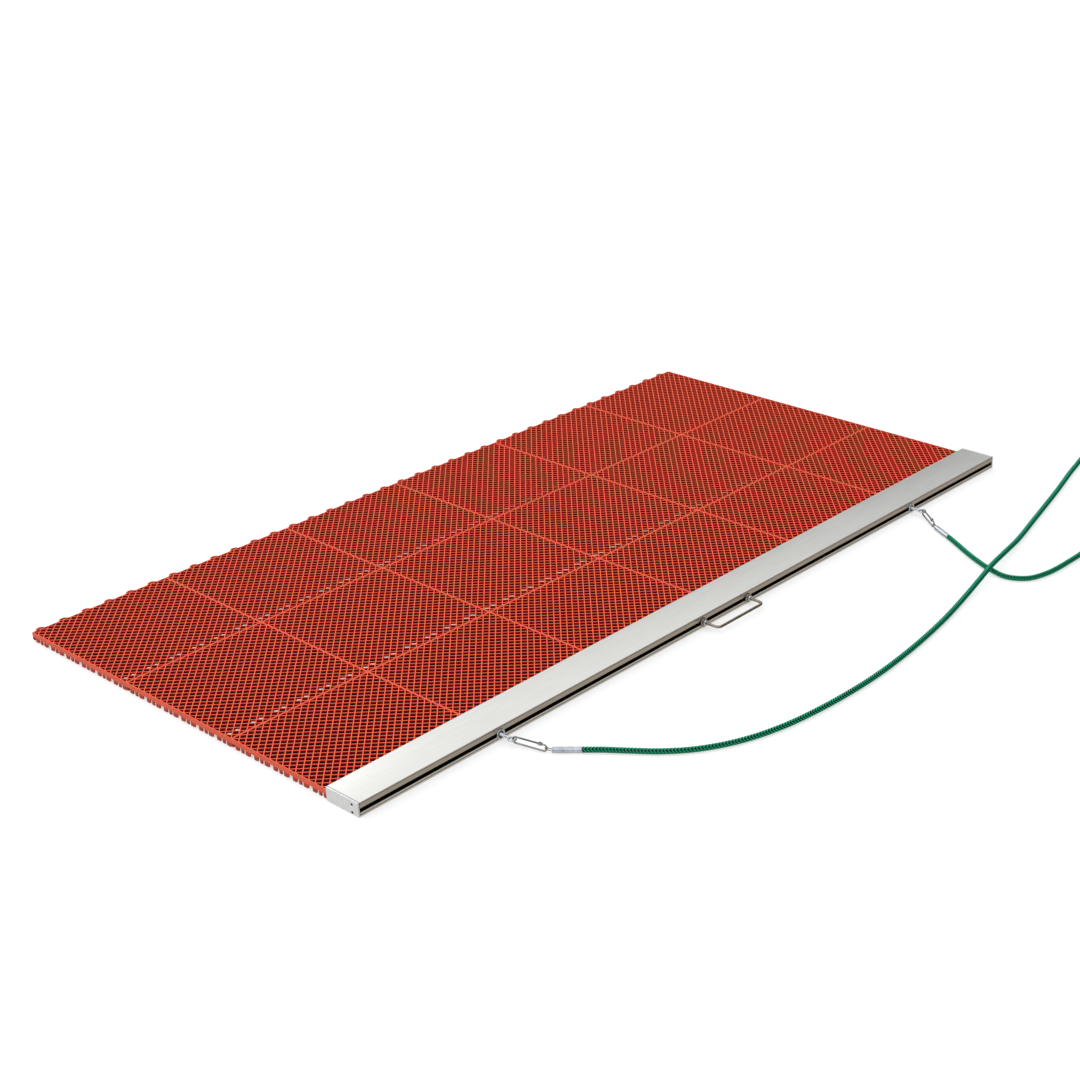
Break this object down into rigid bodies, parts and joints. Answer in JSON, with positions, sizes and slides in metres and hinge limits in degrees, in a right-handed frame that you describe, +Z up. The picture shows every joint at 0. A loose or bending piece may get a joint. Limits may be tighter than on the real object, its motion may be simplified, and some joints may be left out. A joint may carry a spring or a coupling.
{
  "type": "court drag mat",
  "caption": "Drag mat for levelling clay courts: aluminium pull bar with T-slot, soft lattice tile mat, hand bow and tow rope on snap hooks.",
  "frame": {"origin": "middle of the flat underside of the bar's closed front section", "axes": "+X along the bar, +Y towards the mat's trailing edge, +Z up; the pull rope is on the -Y side"},
  "size_m": [2.3978, 1.4596, 0.029],
  "materials": {
    "bar_aluminium": "satin anodised extrusion",
    "mat_pvc": "matt moulded soft PVC",
    "zinc_steel": "bright zinc plated",
    "stainless": "polished wire",
    "ferrule_alloy": "crimped grey sleeve",
    "rope_green": "braided polypropylene"
  },
  "bodies": {
    "bar_and_front_row": {"cap_screw_left_bottom": "zinc_steel", "cap_screw_left_top": "zinc_steel", "cap_screw_right_bottom": "zinc_steel", "cap_screw_right_top": "zinc_steel", "drag_bar": "bar_aluminium", "end_cap_left": "bar_aluminium", "end_cap_right": "bar_aluminium", "eye_bolt_left": "zinc_steel", "eye_bolt_right": "zinc_steel", "eye_tnut_left": "zinc_steel", "eye_tnut_right": "zinc_steel", "eye_washer_left": "zinc_steel", "eye_washer_right": "zinc_steel", "handle_base_nut_left": "stainless", "handle_base_nut_right": "stainless", "handle_bow": "stainless", "handle_lock_nut_left": "zinc_steel", "handle_lock_nut_right": "zinc_steel", "handle_tnut_left": "zinc_steel", "handle_tnut_right": "zinc_steel", "mat_clamp_strip": "bar_aluminium", "mat_screw_1": "zinc_steel", "mat_screw_2": "zinc_steel", "mat_screw_3": "zinc_steel", "mat_screw_4": "zinc_steel", "mat_screw_5": "zinc_steel", "mat_screw_6": "zinc_steel", "mat_tile_r1_c1": "mat_pvc", "mat_tile_r1_c2": "mat_pvc", "mat_tile_r1_c3": "mat_pvc", "mat_tile_r1_c4": "mat_pvc", "mat_tile_r1_c5": "mat_pvc", "mat_tile_r1_c6": "mat_pvc"},
    "middle_row": {"mat_tile_r2_c1": "mat_pvc", "mat_tile_r2_c2": "mat_pvc", "mat_tile_r2_c3": "mat_pvc", "mat_tile_r2_c4": "mat_pvc", "mat_tile_r2_c5": "mat_pvc", "mat_tile_r2_c6": "mat_pvc"},
    "rear_row": {"mat_tile_r3_c1": "mat_pvc", "mat_tile_r3_c2": "mat_pvc", "mat_tile_r3_c3": "mat_pvc", "mat_tile_r3_c4": "mat_pvc", "mat_tile_r3_c5": "mat_pvc", "mat_tile_r3_c6": "mat_pvc"},
    "tow_rope_set": {"tow_rope": "rope_green", "snap_hook_left": "zinc_steel", "gate_pin_left": "zinc_steel", "wire_loop_left": "stainless", "ferrule_left": "ferrule_alloy", "snap_hook_right": "zinc_steel", "gate_pin_right": "zinc_steel", "wire_loop_right": "stainless", "ferrule_right": "ferrule_alloy"},
    "gate_left": {"snap_gate_left": "zinc_steel"},
    "gate_right": {"snap_gate_right": "zinc_steel"}
  },
  "joints": [
    {"name": "middle_row_fold", "type": "hinge", "parent": "bar_and_front_row", "child": "middle_row", "pos_m": [0, 0.34773, 0.019], "axis": [1, 0, 0], "range_deg": [0, 110]},
    {"name": "rear_row_fold", "type": "hinge", "parent": "middle_row", "child": "rear_row", "pos_m": [0, 0.68107, 0.019], "axis": [1, 0, 0], "range_deg": [0, 110]},
    {"name": "tow_lift", "type": "hinge", "parent": "bar_and_front_row", "child": "tow_rope_set", "pos_m": [0, -0.0512, 0.01275], "axis": [-1, 0, 0], "range_deg": [0, 60]},
    {"name": "gate_open_left", "type": "hinge", "parent": "tow_rope_set", "child": "gate_left", "pos_m": [-0.64256, -0.09891, 0.01593], "axis": [-0.9511, -0.309, 0], "range_deg": [0, 11.5], "stiffness_Nm_per_rad": 0.2, "springref_deg": -5.73},
    {"name": "gate_open_right", "type": "hinge", "parent": "tow_rope_set", "child": "gate_right", "pos_m": [0.62845, -0.09203, 0.01593], "axis": [-0.829, 0.5592, 0], "range_deg": [0, 11.5], "stiffness_Nm_per_rad": 0.2, "springref_deg": -5.73}
  ]
}
